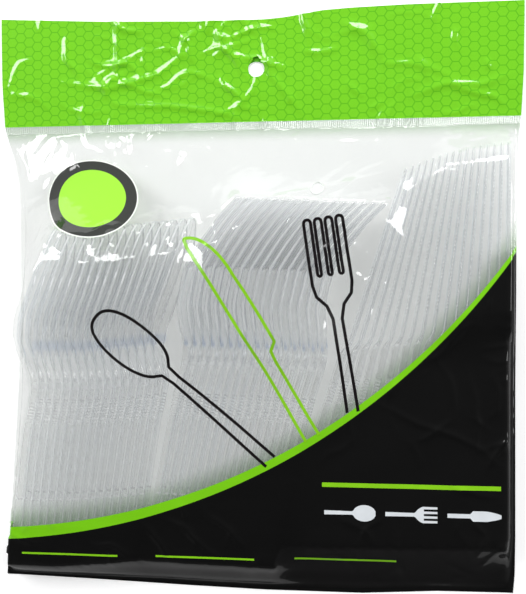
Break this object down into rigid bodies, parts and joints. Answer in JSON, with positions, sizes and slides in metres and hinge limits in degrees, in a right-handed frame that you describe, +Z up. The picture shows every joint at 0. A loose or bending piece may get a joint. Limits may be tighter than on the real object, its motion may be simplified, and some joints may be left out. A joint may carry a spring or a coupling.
{
  "type": "plastic cutlery pack",
  "caption": "Flat film header bag holding three nested stacks of clear plastic spoons, forks and knives side by side, with a hang hole in its green header.",
  "frame": {"origin": "middle of the pack's footprint, on the surface that its back lies on", "axes": "+Z up, out of the pack's front; +Y towards the header with the hang hole; +X to the right as seen from the front, from the spoons to the knives"},
  "size_m": [0.246, 0.2692, 0.0399],
  "materials": {
    "printed_film": "clear glossy film printed green, black and clear",
    "clear_plastic": "crystal clear, polished"
  },
  "bodies": {
    "root": {"bag": "printed_film", "spoon_01": "clear_plastic", "spoon_02": "clear_plastic", "spoon_03": "clear_plastic", "spoon_04": "clear_plastic", "spoon_05": "clear_plastic", "spoon_06": "clear_plastic", "spoon_07": "clear_plastic", "spoon_08": "clear_plastic", "spoon_09": "clear_plastic", "spoon_10": "clear_plastic", "spoon_11": "clear_plastic", "spoon_12": "clear_plastic", "spoon_13": "clear_plastic", "spoon_14": "clear_plastic", "spoon_15": "clear_plastic", "spoon_16": "clear_plastic", "fork_01": "clear_plastic", "fork_02": "clear_plastic", "fork_03": "clear_plastic", "fork_04": "clear_plastic", "fork_05": "clear_plastic", "fork_06": "clear_plastic", "fork_07": "clear_plastic", "fork_08": "clear_plastic", "fork_09": "clear_plastic", "fork_10": "clear_plastic", "fork_11": "clear_plastic", "fork_12": "clear_plastic", "fork_13": "clear_plastic", "fork_14": "clear_plastic", "fork_15": "clear_plastic", "fork_16": "clear_plastic", "knife_01": "clear_plastic", "knife_02": "clear_plastic", "knife_03": "clear_plastic", "knife_04": "clear_plastic", "knife_05": "clear_plastic", "knife_06": "clear_plastic", "knife_07": "clear_plastic", "knife_08": "clear_plastic", "knife_09": "clear_plastic", "knife_10": "clear_plastic", "knife_11": "clear_plastic", "knife_12": "clear_plastic", "knife_13": "clear_plastic", "knife_14": "clear_plastic", "knife_15": "clear_plastic", "knife_16": "clear_plastic"}
  },
  "joints": []
}
